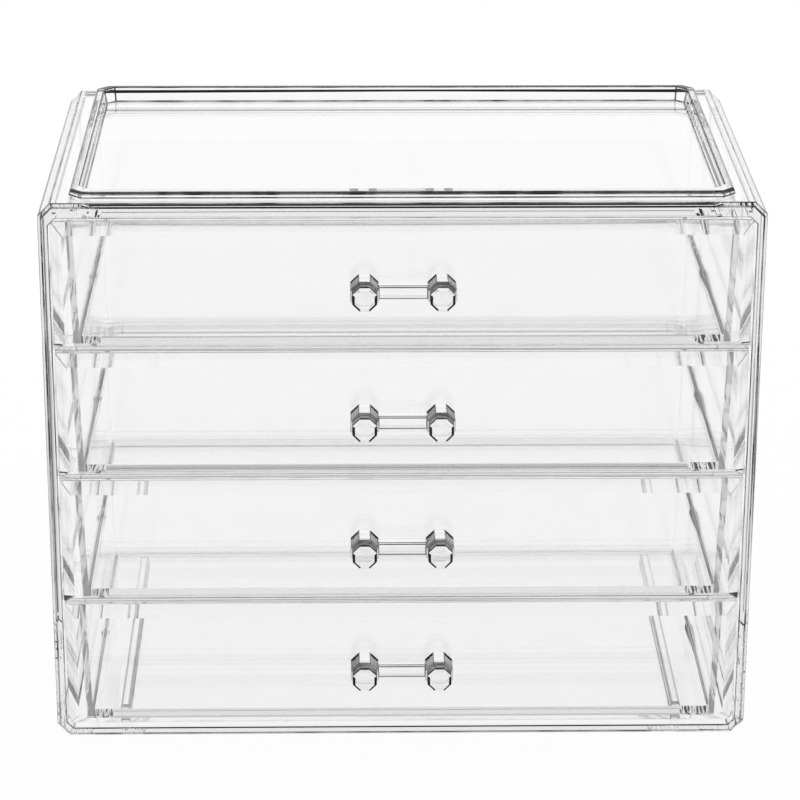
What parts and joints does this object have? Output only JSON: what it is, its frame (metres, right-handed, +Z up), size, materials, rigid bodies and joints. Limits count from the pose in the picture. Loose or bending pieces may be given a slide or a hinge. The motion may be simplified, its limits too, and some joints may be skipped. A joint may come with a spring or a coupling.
{
  "type": "drawer organizer",
  "caption": "Clear desktop organizer: a box with cut corners and a rimmed top tray, holding stacked full-width pull-out drawers with faceted pulls.",
  "frame": {"origin": "centre of the case's base, on the surface it stands on", "axes": "+X to the right seen from the front, +Y towards the back, +Z up; the drawers open towards -Y"},
  "size_m": [0.24, 0.1528, 0.1966],
  "materials": {
    "clear_case": "water-clear polished acrylic",
    "clear_drawer": "water-clear polished acrylic",
    "clear_handle": "water-clear polished acrylic, faceted"
  },
  "bodies": {
    "case": {"case_shell": "clear_case", "back_panel": "clear_case", "lower_shelf": "clear_case", "middle_shelf": "clear_case", "upper_shelf": "clear_case"},
    "bottom_drawer": {"bottom_drawer_front": "clear_drawer", "bottom_drawer_tray": "clear_drawer", "bottom_drawer_handle": "clear_handle"},
    "third_drawer": {"third_drawer_front": "clear_drawer", "third_drawer_tray": "clear_drawer", "third_drawer_handle": "clear_handle"},
    "second_drawer": {"second_drawer_front": "clear_drawer", "second_drawer_tray": "clear_drawer", "second_drawer_handle": "clear_handle"},
    "top_drawer": {"top_drawer_front": "clear_drawer", "top_drawer_tray": "clear_drawer", "top_drawer_handle": "clear_handle"}
  },
  "joints": [
    {"name": "bottom_drawer_slide", "type": "slide", "parent": "case", "child": "bottom_drawer", "axis": [0, -1, 0], "range_m": [0, 0.11]},
    {"name": "third_drawer_slide", "type": "slide", "parent": "case", "child": "third_drawer", "axis": [0, -1, 0], "range_m": [0, 0.11]},
    {"name": "second_drawer_slide", "type": "slide", "parent": "case", "child": "second_drawer", "axis": [0, -1, 0], "range_m": [0, 0.11]},
    {"name": "top_drawer_slide", "type": "slide", "parent": "case", "child": "top_drawer", "axis": [0, -1, 0], "range_m": [0, 0.11]}
  ]
}
